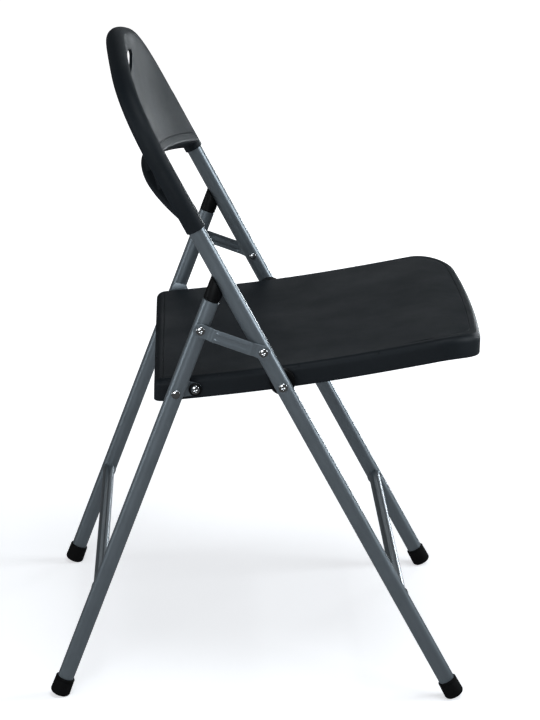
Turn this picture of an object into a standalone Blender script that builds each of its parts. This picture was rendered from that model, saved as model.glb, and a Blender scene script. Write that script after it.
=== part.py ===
"""Folding chair: two tube leg frames, two side links, a moulded seat and a moulded backrest.

Metres, +Z up, +X is the sitter's forward direction. The origin is on the floor, in the middle of
the footprint. The legs of one side lie in one plane. The front legs carry the backrest, the seat
turns on the front legs, the rear legs hang on the seat's rear hinge and on the side links.
"""

import math

import bmesh
import bpy
import numpy as np
from mathutils import Vector

# --- driving dimensions --------------------------------------------------------------------
GAP = 0.0003                     # clearance between pieces that touch
ROUND = 20                       # sides of a tube and of what fits round it
SMALL_ROUND = 12                 # sides of a rivet, a washer and their holes

TUBE_RADIUS = 0.010
TUBE_WALL = 0.0015
LEG_SPACING = 0.450              # between the centre lines of the right and the left legs
FRONT_LEAN = math.radians(29.28)
REAR_LEAN = math.radians(19.52)
FRONT_FLOOR_X = 0.2387           # where the front legs' centre lines meet the floor
REAR_FLOOR_X = -0.2519
TUBE_END = 0.0085                # height along the leg of the tube's lower end

LINK_FRONT_Z = 0.4445            # height of the link's pivot on the front leg
LINK_REAR_Z = 0.4704
SEAT_PIVOT_Z = 0.4012
HINGE_ALONG = 0.4208             # the seat's rear hinge, along the rear leg from the floor
HINGE_FORWARD = 0.0227           # and in front of that leg's centre line
BRACKET_RIVET_Z = 0.3912

FRONT_BAR_Z = 0.132
REAR_BAR_Z = 0.138
BAR_RADIUS = 0.0076
BAR_WALL = 0.0014
BAR_GROOVE = 0.0016

FOOT_RIM_Z = 0.0236
FOOT_WALL = 0.0013
FOOT_FLARE = 0.0007
FOOT_FILLET = 0.0050
FOOT_SOLE_CUT = 0.0015           # depth of the flat worn by the floor

CAP_BELOW_MEETING = 0.03104      # the rear tube ends this far below where the legs' lines meet
CAP_LENGTH = 0.040
CAP_PLUG = 0.014
CAP_COLLAR = 0.0003
SADDLE_GAP = 0.0006
CAP_BEHIND = 0.0095              # how far behind the front leg's centre line the cap ends

SLEEVE_WALL = 0.0018
SLEEVE_BOTTOM = 0.676            # along the front leg, from the floor
SLEEVE_TOP = 0.768
TUBE_TOP = 0.774
BACK_LOW = 0.684                 # lower corners of the panel, along the front leg
BACK_RISE = 0.040                # how far its lower edge rises in the middle
BACK_BEND = 0.768                # where the straight sides end, along the front leg
BACK_SHOULDER = 0.842            # where the sides would meet the slope up to the crown
BACK_CROWN = (0.034, 0.885)      # half width and place of the crown's flat
BACK_DISH = 0.035
BACK_SKIN = 0.0040
BACK_LIP_DEPTH = 0.0225
BACK_LIP_HEIGHT = 0.0150
BACK_TIP_FORWARD = 0.0024
BACK_RIBS = (-0.140, -0.070, 0.0, 0.070, 0.140)
BACK_RIB_TOP = 0.828
SLOT_ALONG = 0.853
SLOT_HALF_LENGTH = 0.066
SLOT_HALF_HEIGHT = 0.0110

SEAT_SIDE_GAP = 0.011            # between the seat's skirt and the inside of the legs
SEAT_REAR = -0.153               # seat outline and heights, from the seat's front pivot
SEAT_FRONT = 0.248
SEAT_REAR_HEIGHT = -0.0030
SEAT_RISE = 0.0545
SEAT_SAG = 0.005
SEAT_CREST = 0.0600              # distance of the crest of the front roll from the front edge
SEAT_ROLL_DROP = 0.0050
SEAT_DISH = 0.0035
SEAT_SKIRT = 0.0270
SEAT_SKIN = 0.0030
SEAT_FRONT_RADIUS = 0.056
SEAT_REAR_RADIUS = 0.012
SEAT_BOW = 0.010
SEAT_EDGE_RADIUS = 0.008

LINK_THICKNESS = 0.0020
LINK_WIDTH = 0.0158
LINK_TAB_RADIUS = 0.0086
LINK_STEP = 0.0020               # how far the middle of the link stands out from its ends
BRACKET_THICKNESS = 0.0020
RIVET_SHANK = 0.0026
RIVET_HEAD_RADIUS = 0.0049
RIVET_HEAD_HEIGHT = 0.0027
RIVET_HOLE = RIVET_SHANK + GAP
SPACER_RADIUS = 0.0155
WASHER_RADIUS = 0.0080
WASHER_THICKNESS = 0.0018
BOSS_LENGTH = 0.018
PIVOT_BOSS_RADIUS = 0.0105
HINGE_BOSS_RADIUS = 0.0085
SCREW_LENGTH = 0.014
SEAT_RIB_THICKNESS = 0.0026
SEAT_RIB_HEIGHT = 0.0130
SEAT_CROSS_RIBS = (-0.075, 0.020, 0.115)
SEAT_LONG_RIBS = (-0.100, 0.0, 0.100)
BACK_RIB_THICKNESS = 0.0028
BRACKET_EYE_RADIUS = 0.0080
BRACKET_STATIONS = (             # (ahead of its rivet, above it, below it) round the leg's side
    (-0.0085, 0.0090, -0.0050),
    (-0.0060, 0.0150, -0.0085),
    (0.0085, 0.0165, -0.0085),
)
BRACKET_STEP = (0.0130, 0.0125, -0.0080)

# --- values that follow from them ----------------------------------------------------------
LEG_MEETING_Z = (FRONT_FLOOR_X - REAR_FLOOR_X) / (math.tan(FRONT_LEAN) + math.tan(REAR_LEAN))
CAP_START_Z = LEG_MEETING_Z - CAP_BELOW_MEETING   # height on the centre line
HALF = LEG_SPACING / 2
SLEEVE_RADIUS = TUBE_RADIUS + SLEEVE_WALL
SEAT_HALF_WIDTH = HALF - TUBE_RADIUS - SEAT_SIDE_GAP
SIDES = {"right": -1, "left": 1}

COLOURS = {
    "painted_steel": ((0.115, 0.135, 0.158), 0.42, 0.55),
    "black_plastic": ((0.017, 0.020, 0.024), 0.48, 0.0),
    "black_rubber": ((0.010, 0.010, 0.011), 0.75, 0.0),
    "zinc": ((0.72, 0.73, 0.75), 0.22, 1.0),
}


def on_front(z):
    """The point of the front leg's centre line at height z, as (x, z)."""
    return Vector((FRONT_FLOOR_X - z * math.tan(FRONT_LEAN), z))


def on_rear(z):
    return Vector((REAR_FLOOR_X + z * math.tan(REAR_LEAN), z))


def hinge_point():
    """The seat's rear hinge, in front of the rear leg."""
    up = Vector((math.sin(REAR_LEAN), math.cos(REAR_LEAN)))
    ahead = Vector((math.cos(REAR_LEAN), -math.sin(REAR_LEAN)))
    return Vector((REAR_FLOOR_X, 0)) + HINGE_ALONG * up + HINGE_FORWARD * ahead


LINK_FRONT = on_front(LINK_FRONT_Z)
LINK_REAR = on_rear(LINK_REAR_Z)
SEAT_PIVOT = on_front(SEAT_PIVOT_Z)
REAR_HINGE = hinge_point()
BRACKET_RIVET = on_rear(BRACKET_RIVET_Z)


# --- scene and mesh helpers ----------------------------------------------------------------
def clear_scene():
    for obj in list(bpy.data.objects):
        bpy.data.objects.remove(obj, do_unlink=True)


def make_materials():
    made = {}
    for name, (colour, roughness, metallic) in COLOURS.items():
        mat = bpy.data.materials.new(name)
        mat.use_nodes = True
        shader = mat.node_tree.nodes["Principled BSDF"]
        shader.inputs["Base Color"].default_value = (*colour, 1)
        shader.inputs["Roughness"].default_value = roughness
        shader.inputs["Metallic"].default_value = metallic
        mat.diffuse_color = (*colour, 1)
        made[name] = mat
    return made


def make_pivot(name, point):
    """An empty on a joint's axis, which carries what turns there."""
    empty = bpy.data.objects.new(name, None)
    empty.empty_display_size = 0.03
    empty.location = (point.x, 0, point.y)
    bpy.context.scene.collection.objects.link(empty)
    return empty


def make_object(name, bm, material, location=(0, 0, 0), turn=0.0, parent=None):
    """Turns a bmesh into an object at a place in the world, turned about Y, under its pivot."""
    bmesh.ops.recalc_face_normals(bm, faces=bm.faces)
    mesh = bpy.data.meshes.new(name)
    bm.to_mesh(mesh)
    bm.free()
    obj = bpy.data.objects.new(name, mesh)
    bpy.context.scene.collection.objects.link(obj)
    if material:
        mesh.materials.append(MATERIALS[material])
    mesh.shade_smooth()
    mesh.set_sharp_from_angle(angle=math.radians(35))
    obj.rotation_euler = (0, turn, 0)
    obj.location = Vector(location)
    if parent:
        obj.parent = parent
        obj.location = Vector(location) - parent.location
    return obj


def cut(obj, cutter, operation="DIFFERENCE", solver="EXACT"):
    """Adds a Boolean and turns its other object into a hidden helper."""
    modifier = obj.modifiers.new(cutter.name, "BOOLEAN")
    modifier.operation = operation
    modifier.solver = solver
    modifier.object = cutter
    cutter.hide_render = True
    cutter.display_type = "WIRE"


def turned(profile, closed, sides=ROUND):
    """A profile of (radius, height) points spun about Z. A closed profile makes a ring."""
    bm = bmesh.new()
    verts = [bm.verts.new((radius, 0, height)) for radius, height in profile]
    pairs = list(zip(verts, verts[1:]))
    if closed:
        pairs.append((verts[-1], verts[0]))
    edges = [bm.edges.new(pair) for pair in pairs]
    bmesh.ops.spin(
        bm,
        geom=verts + edges,
        cent=(0, 0, 0),
        axis=(0, 0, 1),
        angle=2 * math.pi,
        steps=sides,
        use_merge=True,
    )
    bmesh.ops.remove_doubles(bm, verts=bm.verts, dist=1e-6)
    return bm


def lay_along_y(bm, side):
    """Turns a bmesh that stands on Z so that it points outwards along Y on its side."""
    for vert in bm.verts:
        x, y, z = vert.co
        vert.co = (x, side * z, -side * y)
    return bm


def tube(length, start, radius=TUBE_RADIUS, wall=TUBE_WALL):
    inner = radius - wall
    ring = [(radius, start), (radius, length), (inner, length), (inner, start)]
    return turned(ring, closed=True)


def rod(radius, low, high, sides=ROUND):
    return turned([(0, low), (radius, low), (radius, high), (0, high)], closed=False, sides=sides)


def cross_pin(name, point, radius, low, high, side):
    """A helper cylinder across the chair, between two distances from the middle plane."""
    sides = SMALL_ROUND if radius < TUBE_RADIUS / 2 else ROUND
    bm = lay_along_y(rod(radius, low, high, sides), side)
    return make_object(name, bm, None, (point.x, 0, point.y))


def loft(rings, cap_first=True, cap_last=True):
    """Skins rings of equally many points, and closes the ends."""
    bm = bmesh.new()
    made = [[bm.verts.new(point) for point in ring] for ring in rings]
    for lower, upper in zip(made, made[1:]):
        for i in range(len(lower)):
            j = (i + 1) % len(lower)
            bm.faces.new((lower[i], lower[j], upper[j], upper[i]))
    if cap_first:
        bm.faces.new(made[0][::-1])
    if cap_last:
        bm.faces.new(made[-1])
    return bm


# --- legs, crossbars, feet and caps --------------------------------------------------------
def make_leg(name, side, front, parent):
    lean = -FRONT_LEAN if front else REAR_LEAN
    floor_x = FRONT_FLOOR_X if front else REAR_FLOOR_X
    top = TUBE_TOP if front else CAP_START_Z / math.cos(REAR_LEAN)
    bm = tube(top, TUBE_END)
    leg = make_object(name, bm, "painted_steel", (floor_x, side * HALF, 0), lean, parent)
    pins = (LINK_FRONT, SEAT_PIVOT) if front else (LINK_REAR, BRACKET_RIVET)
    for number, point in enumerate(pins):
        low = HALF - 2 * TUBE_RADIUS
        high = HALF + 2 * TUBE_RADIUS
        cut(leg, cross_pin(f"{name}_hole_{number}", point, RIVET_HOLE, low, high, side))
    return leg


def bar_section(radius, groove):
    """Round tube section, pressed in along its top and bottom."""
    points = []
    sides = 32
    for i in range(sides):
        angle = 2 * math.pi * i / sides
        press = groove * math.exp(-((abs(math.sin(angle)) - 1) / 0.035) ** 2)
        points.append(((radius - press) * math.cos(angle), (radius - press) * math.sin(angle)))
    return points


def make_crossbar(name, front, parent):
    point = on_front(FRONT_BAR_Z) if front else on_rear(REAR_BAR_Z)
    outer = bar_section(BAR_RADIUS, BAR_GROOVE)
    inner = bar_section(BAR_RADIUS - BAR_WALL, BAR_GROOVE)
    reach = HALF - TUBE_RADIUS / 3
    stations = ((outer, -reach), (outer, reach), (inner, reach), (inner, -reach))
    rings = [[(x, y, z) for x, z in section] for section, y in stations]
    rings.append(rings[0])
    bm = loft(rings, cap_first=False, cap_last=False)
    bmesh.ops.remove_doubles(bm, verts=bm.verts, dist=1e-6)
    bar = make_object(name, bm, "painted_steel", (point.x, 0, point.y), 0, parent)
    lean = -FRONT_LEAN if front else REAR_LEAN
    for label, side in SIDES.items():
        notch = rod(TUBE_RADIUS + GAP, -0.03, 0.03)
        place = (point.x, side * HALF, point.y)
        cut(bar, make_object(f"{name}_{label}_notch", notch, None, place, lean))
    return bar


def make_foot(name, side, front, parent):
    """Rubber cup on a leg's end, with a flat sole where it stands on the floor."""
    lean = FRONT_LEAN if front else REAR_LEAN
    floor_x = FRONT_FLOOR_X if front else REAR_FLOOR_X
    inner = TUBE_RADIUS + GAP
    rim = inner + FOOT_WALL
    base = rim + FOOT_FLARE
    fillet_reach = (base - FOOT_FILLET) * math.sin(lean) + FOOT_FILLET - FOOT_SOLE_CUT
    centre = fillet_reach / math.cos(lean)
    bottom = centre - FOOT_FILLET
    top = FOOT_RIM_Z / math.cos(lean)
    profile = [(0, bottom)]
    for step in range(5):
        angle = math.radians(-90 + 22.5 * step)
        radius = base - FOOT_FILLET + FOOT_FILLET * math.cos(angle)
        profile.append((radius, centre + FOOT_FILLET * math.sin(angle)))
    bead = 0.0012
    profile += [(rim, top - bead), (rim - bead / 3, top), (inner, top)]
    profile += [(inner, TUBE_END - GAP), (0, TUBE_END - GAP)]
    bm = turned(profile, closed=False)
    place = (floor_x, side * HALF, 0)
    turn = -lean if front else lean
    foot = make_object(name, bm, "black_rubber", place, turn, parent)
    floor = bmesh.new()
    bmesh.ops.create_cube(floor, size=0.08)
    cut(foot, make_object(f"{name}_floor", floor, None, (floor_x, side * HALF, -0.04)))
    return foot


def make_leg_cap(name, side, parent):
    """Plastic plug in the rear leg's top, hollowed to rest against the front leg."""
    start = CAP_START_Z / math.cos(REAR_LEAN)
    plug = TUBE_RADIUS - TUBE_WALL - GAP
    collar = TUBE_RADIUS + CAP_COLLAR
    profile = [
        (0, start - CAP_PLUG),
        (plug - 0.001, start - CAP_PLUG),
        (plug, start - CAP_PLUG + 0.001),
        (plug, start + GAP),
        (collar, start + GAP),
        (collar, start + CAP_LENGTH),
        (0, start + CAP_LENGTH),
    ]
    bm = turned(profile, closed=False)
    place = (REAR_FLOOR_X, side * HALF, 0)
    cap = make_object(name, bm, "black_plastic", place, REAR_LEAN, parent)
    saddle = bmesh.new()
    bmesh.ops.create_cube(saddle, size=1)
    depth = 0.060
    ahead = Vector((math.cos(FRONT_LEAN), math.sin(FRONT_LEAN)))
    middle = on_front(CAP_START_Z) + ahead * (depth / 2 - CAP_BEHIND)
    for vert in saddle.verts:
        vert.co = (vert.co.x * depth, vert.co.y * 0.040, vert.co.z * 0.200)
    flat = make_object(f"{name}_flat", saddle, None, (middle.x, side * HALF, middle.y), -FRONT_LEAN)
    cut(cap, flat)
    groove = rod(TUBE_RADIUS + SADDLE_GAP, -0.10, 0.10)
    spot = on_front(CAP_START_Z)
    cut(cap, make_object(f"{name}_saddle", groove, None, (spot.x, side * HALF, spot.y), -FRONT_LEAN))
    return cap


# --- links, brackets, rivets, washers ------------------------------------------------------
def make_link(name, side, parent):
    """Pressed steel strap between the legs, with its middle standing out."""
    inside = HALF + TUBE_RADIUS + GAP
    span = LINK_REAR - LINK_FRONT
    length = span.length
    along = span.normalized()
    across = Vector((-along.y, along.x))
    half = LINK_WIDTH / 2
    tab = LINK_TAB_RADIUS
    ramp_start = tab * 1.15
    ramp_end = ramp_start + 0.0045
    stations = []
    for step in range(6):
        angle = math.radians(8 + 82 * step / 5)
        stations.append((-tab * math.cos(angle), tab * math.sin(angle), 0))
    stations += [(ramp_start, half, 0), (ramp_end, half, LINK_STEP)]
    mirror = [(length - s, width, out) for s, width, out in reversed(stations)]
    rings = []
    for s, width, out in stations + mirror:
        centre = LINK_FRONT + along * s
        near = inside + out
        far = near + LINK_THICKNESS
        ring = []
        for shift, depth in ((-width, near), (width, near), (width, far), (-width, far)):
            spot = centre + across * shift
            ring.append((spot.x - LINK_FRONT.x, side * depth, spot.y - LINK_FRONT.y))
        rings.append(ring)
    bm = loft(rings)
    place = (LINK_FRONT.x, 0, LINK_FRONT.y)
    link = make_object(name, bm, "painted_steel", place, 0, parent)
    for number, point in enumerate((LINK_FRONT, LINK_REAR)):
        low = inside - 0.01
        cut(link, cross_pin(f"{name}_eye_{number}", point, RIVET_HOLE, low, low + 0.02, side))
    return link


def rivet_profile(tail, seat_plane, tail_dome):
    """Half section of a rivet or screw from its inner end to the top of its domed head."""
    head = seat_plane + GAP
    profile = [(0, tail)]
    if tail_dome:
        radius = RIVET_HEAD_RADIUS * 0.84
        height = RIVET_HEAD_HEIGHT * 0.8
        profile = [(0, tail - height), (radius * 0.6, tail - height * 0.8)]
        profile += [(radius, tail - height * 0.3), (radius, tail), (RIVET_SHANK, tail)]
    else:
        profile += [(RIVET_SHANK * 0.7, tail), (RIVET_SHANK, tail + 0.0008)]
    profile.append((RIVET_SHANK, head))
    profile.append((RIVET_HEAD_RADIUS, head))
    for share, rise in ((1.0, 0.35), (0.75, 0.82), (0.0, 1.0)):
        profile.append((RIVET_HEAD_RADIUS * share, head + RIVET_HEAD_HEIGHT * rise))
    return profile


def make_rivet(name, side, point, tail, seat_plane, tail_dome, parent):
    bm = lay_along_y(turned(rivet_profile(tail, seat_plane, tail_dome), False, SMALL_ROUND), side)
    return make_object(name, bm, "zinc", (point.x, 0, point.y), 0, parent)


def make_rivet_tail(name, side, point, parent):
    """Clinched inner end of the link's rear rivet, in the rear leg."""
    outer = HALF + TUBE_RADIUS - 0.001
    tail = HALF - TUBE_RADIUS - GAP
    profile = rivet_profile(tail, 0, True)[:5] + [(RIVET_SHANK, outer), (0, outer)]
    bm = lay_along_y(turned(profile, False, SMALL_ROUND), side)
    return make_object(name, bm, "zinc", (point.x, 0, point.y), 0, parent)


def make_ring(name, side, point, radius, low, high, material, parent):
    """Washer or spacer round a rivet."""
    edge = min(0.0006, (high - low) / 4)
    profile = [
        (RIVET_HOLE, low),
        (radius - edge, low),
        (radius, low + edge),
        (radius, high - edge),
        (radius - edge, high),
        (RIVET_HOLE, high),
    ]
    bm = lay_along_y(turned(profile, closed=True, sides=16), side)
    return make_object(name, bm, material, (point.x, 0, point.y), 0, parent)


def bracket_planes():
    """Inner faces of the bracket at the leg and at the hinge, from the middle plane."""
    at_leg = HALF - TUBE_RADIUS - GAP - BRACKET_THICKNESS
    at_hinge = SEAT_HALF_WIDTH + 2 * GAP
    return at_leg, at_hinge


def make_bracket(name, side, parent):
    """Plate on the inside of the rear leg, stepped in towards the seat's hinge."""
    at_leg, at_hinge = bracket_planes()
    up = Vector((math.sin(REAR_LEAN), math.cos(REAR_LEAN)))
    ahead = Vector((math.cos(REAR_LEAN), -math.sin(REAR_LEAN)))
    rivet = BRACKET_RIVET
    eye = (REAR_HINGE - rivet).dot(up)
    reach = HINGE_FORWARD
    end = BRACKET_EYE_RADIUS
    stations = [(*station, at_leg) for station in BRACKET_STATIONS]
    stations.append((*BRACKET_STEP, at_hinge))
    for step in range(1, 6):
        angle = math.radians(90 - 80 * step / 5)
        wide = end * math.sin(angle)
        stations.append((reach + end * math.cos(angle), eye + wide, eye - wide, at_hinge))
    rings = []
    for s, high, low, plane in stations:
        ring = []
        for shift, depth in (
            (low, plane),
            (high, plane),
            (high, plane + BRACKET_THICKNESS),
            (low, plane + BRACKET_THICKNESS),
        ):
            spot = rivet + ahead * s + up * shift
            ring.append((spot.x - REAR_HINGE.x, side * depth, spot.y - REAR_HINGE.y))
        rings.append(ring)
    bm = loft(rings)
    place = (REAR_HINGE.x, 0, REAR_HINGE.y)
    bracket = make_object(name, bm, "painted_steel", place, 0, parent)
    for number, (point, plane) in enumerate(((rivet, at_leg), (REAR_HINGE, at_hinge))):
        low = plane - 0.01
        cut(bracket, cross_pin(f"{name}_eye_{number}", point, RIVET_HOLE, low, low + 0.02, side))
    return bracket


# --- seat ----------------------------------------------------------------------------------
def seat_top(x, y):
    """Height of the seat's upper surface, with x and height counted from the front pivot."""
    crest = SEAT_FRONT - SEAT_CREST
    share = (x - SEAT_REAR) / (crest - SEAT_REAR)
    inner = min(max(share, 0), 1)
    height = SEAT_REAR_HEIGHT + SEAT_RISE * share - SEAT_SAG * math.sin(math.pi * inner)
    if share > 1:
        past = (x - crest) / SEAT_CREST
        slope = SEAT_RISE / (crest - SEAT_REAR) * SEAT_CREST
        height = SEAT_REAR_HEIGHT + SEAT_RISE + slope * past - (slope + SEAT_ROLL_DROP) * past**2
    across = min(abs(y) / SEAT_HALF_WIDTH, 1)
    dish = SEAT_DISH * (1 - across**2) * math.sin(math.pi * inner) ** 0.5 if 0 < inner < 1 else 0
    return height - dish


def seat_outline(inset):
    """Points round the seat in plan, moved inwards by inset."""
    corner_steps = 5
    side_steps = 6
    end_steps = 6
    half = SEAT_HALF_WIDTH - inset
    rear = SEAT_REAR + inset
    front = SEAT_FRONT - SEAT_BOW - inset
    corners = (
        (front, half, max(SEAT_FRONT_RADIUS - inset, 0.004), 0, side_steps),
        (rear, half, max(SEAT_REAR_RADIUS - inset, 0.002), 90, end_steps),
        (rear, -half, max(SEAT_REAR_RADIUS - inset, 0.002), 180, side_steps),
        (front, -half, max(SEAT_FRONT_RADIUS - inset, 0.004), 270, end_steps),
    )
    arcs = []
    for x, y, radius, start, _ in corners:
        centre = (x - math.copysign(radius, x), y - math.copysign(radius, y))
        arc = []
        for step in range(corner_steps + 1):
            angle = math.radians(start + 90 * step / corner_steps)
            arc.append((centre[0] + radius * math.cos(angle), centre[1] + radius * math.sin(angle)))
        arcs.append(arc)
    points = []
    for number, arc in enumerate(arcs):
        points += arc
        following = arcs[(number + 1) % len(arcs)][0]
        steps = corners[number][4]
        for step in range(1, steps):
            share = step / steps
            x = arc[-1][0] + (following[0] - arc[-1][0]) * share
            y = arc[-1][1] + (following[1] - arc[-1][1]) * share
            points.append((x, y))
    bowed = []
    for x, y in points:
        weight = max(0, min(1, (x - SEAT_FRONT + 0.12) / 0.11))
        weight = weight * weight * (3 - 2 * weight)
        bowed.append((x + SEAT_BOW * weight * (1 - (y / SEAT_HALF_WIDTH) ** 2), y))
    return bowed


def seat_ring(inset, drop, scale=1.0):
    middle = (SEAT_REAR + SEAT_FRONT) / 2
    ring = []
    for x, y in seat_outline(inset):
        x = middle + (x - middle) * scale
        y = y * scale
        ring.append((x, y, seat_top(x, y) - drop))
    return ring


def seat_shell():
    """Outer skin from the skirt's lower edge to the middle, then the inner skin back again."""
    edge = SEAT_EDGE_RADIUS
    skin = SEAT_SKIN
    skirt = SEAT_SKIRT
    outer = [seat_ring(0.0006, skirt), seat_ring(0, skirt - 0.0012), seat_ring(0, edge)]
    for degrees in (30, 60, 90):
        angle = math.radians(degrees)
        outer.append(seat_ring(edge * (1 - math.cos(angle)), edge * (1 - math.sin(angle))))
    scales = (0.86, 0.66, 0.44, 0.22)
    outer += [seat_ring(edge, 0, scale) for scale in scales]
    inner = [seat_ring(edge, skin, scale) for scale in reversed(scales)]
    inner += [seat_ring(edge, skin), seat_ring(skin, edge), seat_ring(skin - 0.0006, skirt)]
    bm = bmesh.new()
    top = [[bm.verts.new(point) for point in ring] for ring in outer]
    under = [[bm.verts.new(point) for point in ring] for ring in inner]
    middle = (SEAT_REAR + SEAT_FRONT) / 2
    pole_top = bm.verts.new((middle, 0, seat_top(middle, 0)))
    pole_under = bm.verts.new((middle, 0, seat_top(middle, 0) - skin))
    count = len(top[0])
    for rings in (top, under):
        for lower, upper in zip(rings, rings[1:]):
            for i in range(count):
                j = (i + 1) % count
                bm.faces.new((lower[i], lower[j], upper[j], upper[i]))
    for i in range(count):
        j = (i + 1) % count
        bm.faces.new((top[-1][i], top[-1][j], pole_top))
        bm.faces.new((under[0][j], under[0][i], pole_under))
        bm.faces.new((top[0][j], top[0][i], under[-1][i], under[-1][j]))
    return bm


def rib(points):
    """Upright strip under the seat, along a line of (x, y) points."""
    first = Vector(points[0])
    along = (Vector(points[-1]) - first).normalized()
    across = Vector((-along.y, along.x)) * SEAT_RIB_THICKNESS / 2
    rings = []
    for x, y in points:
        top = seat_top(x, y) - SEAT_SKIN / 2
        low = top - SEAT_RIB_HEIGHT
        ring = []
        for sign, level in ((-1, top), (1, top), (1, low), (-1, low)):
            ring.append((x + sign * across.x, y + sign * across.y, level))
        rings.append(ring)
    return loft(rings)


def make_seat(parent):
    place = (SEAT_PIVOT.x, 0, SEAT_PIVOT.y)
    seat = make_object("seat", seat_shell(), "black_plastic", place, 0, parent)
    reach = SEAT_HALF_WIDTH - SEAT_SKIN / 2
    steps = 5
    lines = []
    for x in SEAT_CROSS_RIBS:
        lines.append([(x, -reach + 2 * reach * i / steps) for i in range(steps + 1)])
    rear = SEAT_REAR + SEAT_SKIN / 2
    front = SEAT_FRONT - SEAT_SKIN - SEAT_BOW
    for y in SEAT_LONG_RIBS:
        lines.append([(rear + (front - rear) * i / steps, y) for i in range(steps + 1)])
    for number, line in enumerate(lines):
        strip = make_object(f"seat_rib_{number}", rib(line), None, place)
        cut(seat, strip, "UNION", "MANIFOLD")
    for label, side in SIDES.items():
        for kind, point, radius in (
            ("pivot", SEAT_PIVOT, PIVOT_BOSS_RADIUS),
            ("hinge", REAR_HINGE, HINGE_BOSS_RADIUS),
        ):
            low = SEAT_HALF_WIDTH - BOSS_LENGTH
            high = SEAT_HALF_WIDTH - 0.0012
            boss = cross_pin(f"seat_{kind}_boss_{label}", point, radius, low, high, side)
            cut(seat, boss, "UNION", "MANIFOLD")
            low = SEAT_HALF_WIDTH - SCREW_LENGTH - GAP
            high = SEAT_HALF_WIDTH + 0.01
            bore = cross_pin(f"seat_{kind}_bore_{label}", point, RIVET_HOLE, low, high, side)
            cut(seat, bore, "DIFFERENCE", "MANIFOLD")
    return seat


# --- backrest ------------------------------------------------------------------------------
def back_arch():
    """The rim's centre line over the top, from the left side to the right, with its normals."""
    bend = Vector((HALF, BACK_BEND))
    controls = [Vector((HALF, BACK_SHOULDER)), Vector(BACK_CROWN)]
    controls += [Vector((-spot.x, spot.y)) for spot in reversed(controls)]
    ends = [bend]
    ends += [(one + two) / 2 for one, two in zip(controls, controls[1:])]
    ends.append(Vector((-HALF, BACK_BEND)))
    steps = 5
    points = []
    for number, control in enumerate(controls):
        for step in range(steps + (number == len(controls) - 1)):
            share = step / steps
            one = ends[number].lerp(control, share)
            two = control.lerp(ends[number + 1], share)
            spot = one.lerp(two, share)
            along = (two - one).normalized()
            points.append((spot.x, spot.y, along.y, -along.x))
    return points


ARCH = back_arch()


def back_half_width(t):
    """Half width of the rim's centre line at t along the leg."""
    right = [(spot[1], spot[0]) for spot in ARCH if spot[0] >= -1e-6]
    heights = [t for t, _ in right]
    return float(np.interp(t, heights, [y for _, y in right]))


def back_dish(t):
    middle = BACK_LOW + BACK_RISE
    share = min(1, max(0, (t - middle) / (BACK_CROWN[1] - middle)))
    return BACK_DISH * (1 - share**1.3)


def back_front(y, t):
    """The backrest's front surface ahead of the legs' plane, at y across and t along the leg."""
    inner = max(back_half_width(t) - SLEEVE_RADIUS, 0.02)
    reach = min(1, (y / inner) ** 2)
    tip = max(0, t - BACK_BEND) / (BACK_CROWN[1] - BACK_BEND)
    return SLEEVE_RADIUS + BACK_TIP_FORWARD * tip**2 - back_dish(t) * (1 - reach)


def back_lower_edge(y):
    inner = HALF - SLEEVE_RADIUS
    return BACK_LOW + BACK_RISE * max(0, 1 - (y / inner) ** 2)


def back_ring(bead, lip, low, scale=1.0):
    """One ring of the panel's skin. Each pair is (inset from the edge, depth behind the front):
    bead on the straight sides, lip on the arch, low on the lower edge."""
    side_steps = 3
    low_steps = 16
    wide = HALF + SLEEVE_RADIUS - bead[0]
    foot = BACK_LOW + low[0]
    straight = ARCH[0][1]
    points = []
    for i in range(side_steps):
        points.append((wide, foot + (straight - foot) * i / side_steps, bead[1]))
    for y, t, normal_y, normal_t in ARCH:
        fade = min(1, max(0, (t - straight) / 0.050))
        inset = bead[0] + (lip[0] - bead[0]) * fade
        depth = bead[1] + (lip[1] - bead[1]) * fade
        out = SLEEVE_RADIUS - inset
        points.append((y + normal_y * out, t + normal_t * out, depth))
    for i in range(side_steps):
        points.append((-wide, straight + (foot - straight) * (i + 1) / side_steps, bead[1]))
    for i in range(1, low_steps):
        y = wide * (2 * i / low_steps - 1)
        points.append((y, back_lower_edge(y) + low[0], low[1]))
    middle = (BACK_LOW + BACK_RISE + BACK_CROWN[1]) / 2
    ring = []
    for y, t, depth in points:
        y = y * scale
        t = middle + (t - middle) * scale
        ring.append((back_front(y, t) - depth, y, t))
    return ring


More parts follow.
